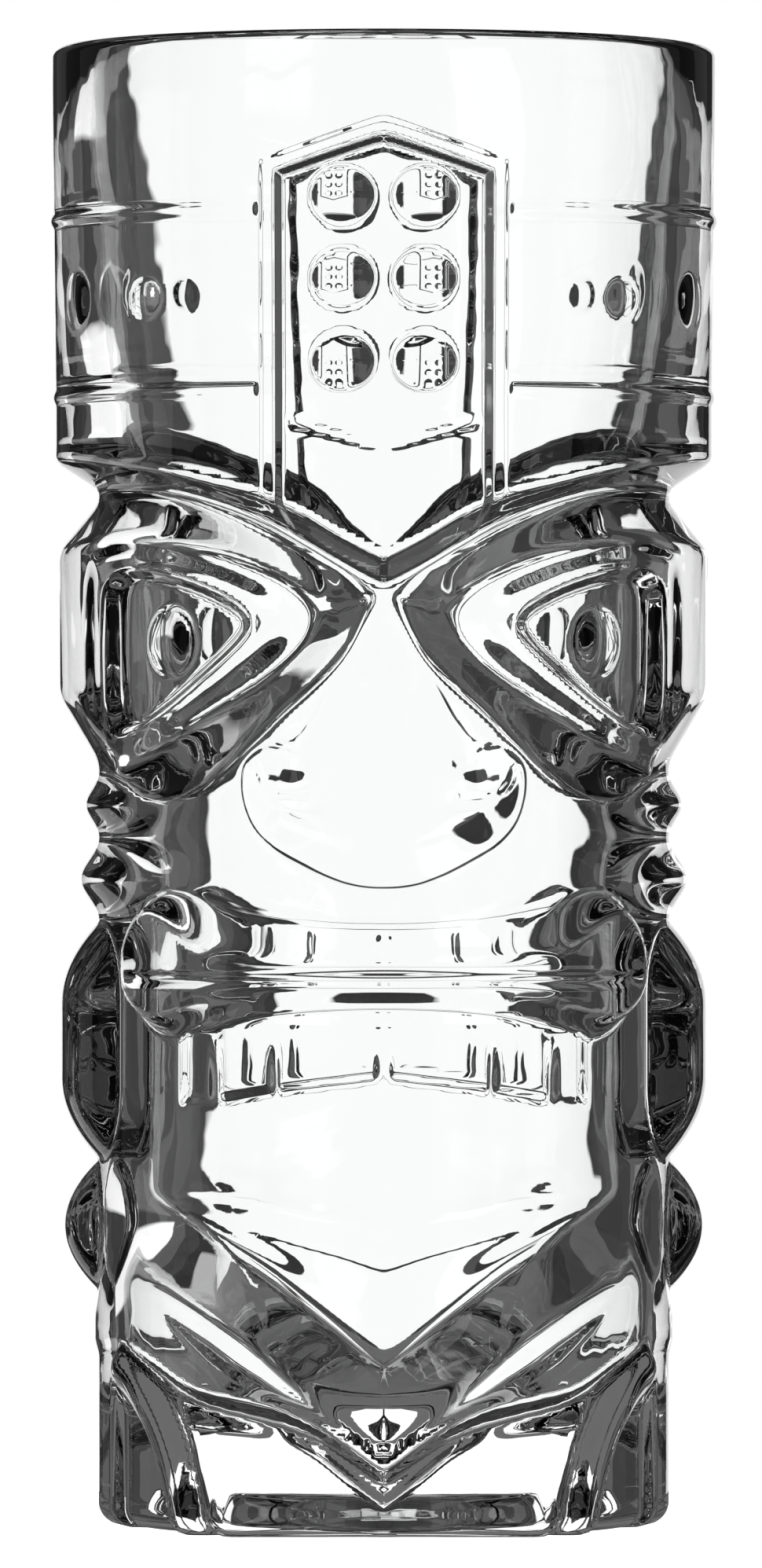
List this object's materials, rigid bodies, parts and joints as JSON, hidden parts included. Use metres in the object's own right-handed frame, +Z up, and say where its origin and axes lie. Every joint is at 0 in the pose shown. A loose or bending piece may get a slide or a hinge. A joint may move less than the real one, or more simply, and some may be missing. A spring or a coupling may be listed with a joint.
{
  "type": "tiki tumbler",
  "caption": "Tall clear pressed-glass tumbler with a raised tiki face, a banded crown, side ears and a thick foot.",
  "frame": {"origin": "middle of the foot, on the table", "axes": "+Z up, -Y towards the viewer out of the front face, +X to the viewer's right"},
  "size_m": [0.0742, 0.0786, 0.165],
  "materials": {
    "clear_glass": "polished"
  },
  "bodies": {
    "root": {"glass_body": "clear_glass"}
  },
  "joints": []
}
